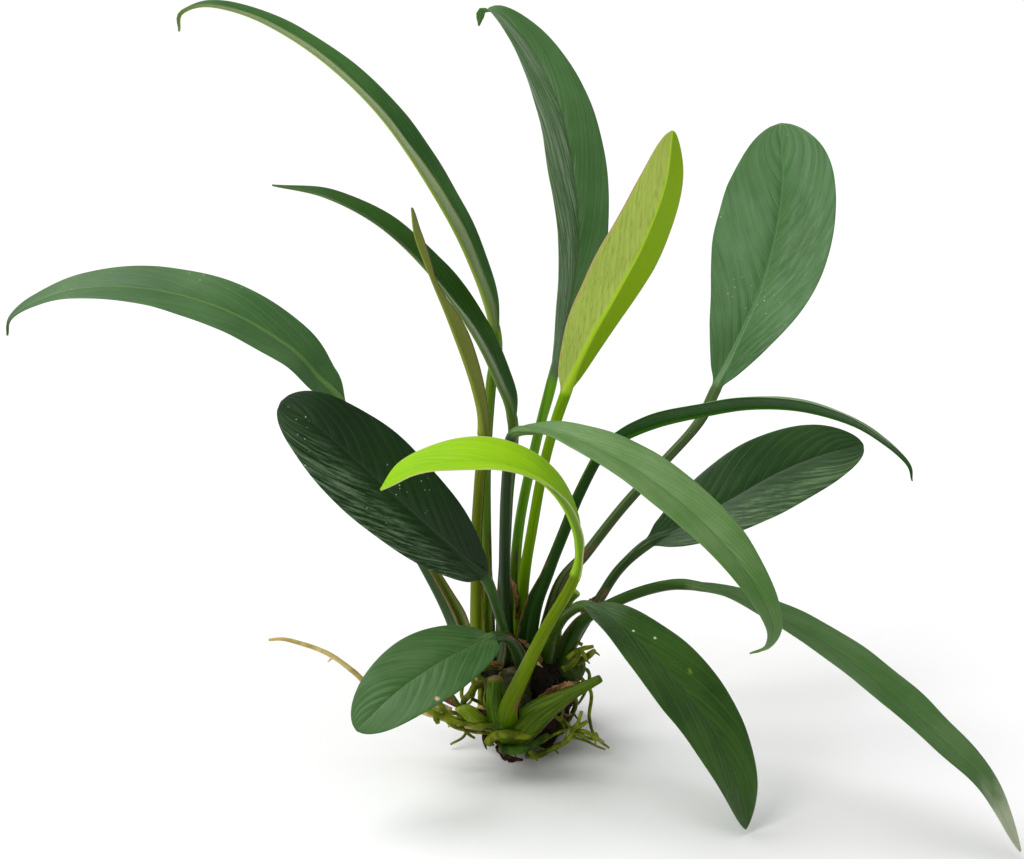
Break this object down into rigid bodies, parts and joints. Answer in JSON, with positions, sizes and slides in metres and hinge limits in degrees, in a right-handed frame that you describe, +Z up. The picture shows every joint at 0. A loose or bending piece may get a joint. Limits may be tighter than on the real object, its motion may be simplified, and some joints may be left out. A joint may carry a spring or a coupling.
{
  "type": "anubias on stone",
  "caption": "Anubias plant with long lance-shaped leaves on tall stalks, its creeping rhizome and roots gripping a small dark stone that it stands on.",
  "frame": {"origin": "on the stone's flat underside, below the crown where the leaf stalks meet", "axes": "+Z up; the leaf fan spreads along X, with -Y the side that it is looked at from; the stone's underside lies in the XY plane"},
  "size_m": [0.271, 0.1329, 0.201],
  "materials": {
    "leaf": "satin",
    "young_leaf": "satin",
    "rhizome": "matte",
    "cut_stalk": "satin",
    "root": "matte",
    "stone": "matte"
  },
  "bodies": {
    "root": {"stone": "stone", "rhizome": "rhizome", "leaf_01": "leaf", "leaf_02": "leaf", "leaf_03": "leaf", "leaf_04": "leaf", "leaf_05": "leaf", "leaf_06": "leaf", "leaf_07": "young_leaf", "leaf_08": "leaf", "leaf_09": "leaf", "leaf_10": "leaf", "leaf_11": "young_leaf", "leaf_12": "leaf", "leaf_13": "leaf", "leaf_14": "leaf", "leaf_15": "leaf", "stub_upright": "cut_stalk", "stub_front_right": "cut_stalk", "stub_front_left": "cut_stalk", "bud_front_left": "cut_stalk", "root_long_left": "root", "root_low_left": "root", "root_front_band": "root", "root_front_right": "root", "root_right_stub": "root", "root_clinging_right": "root", "root_clinging_back": "root", "root_clinging_back_left": "root", "root_clinging_front": "root"}
  },
  "joints": []
}
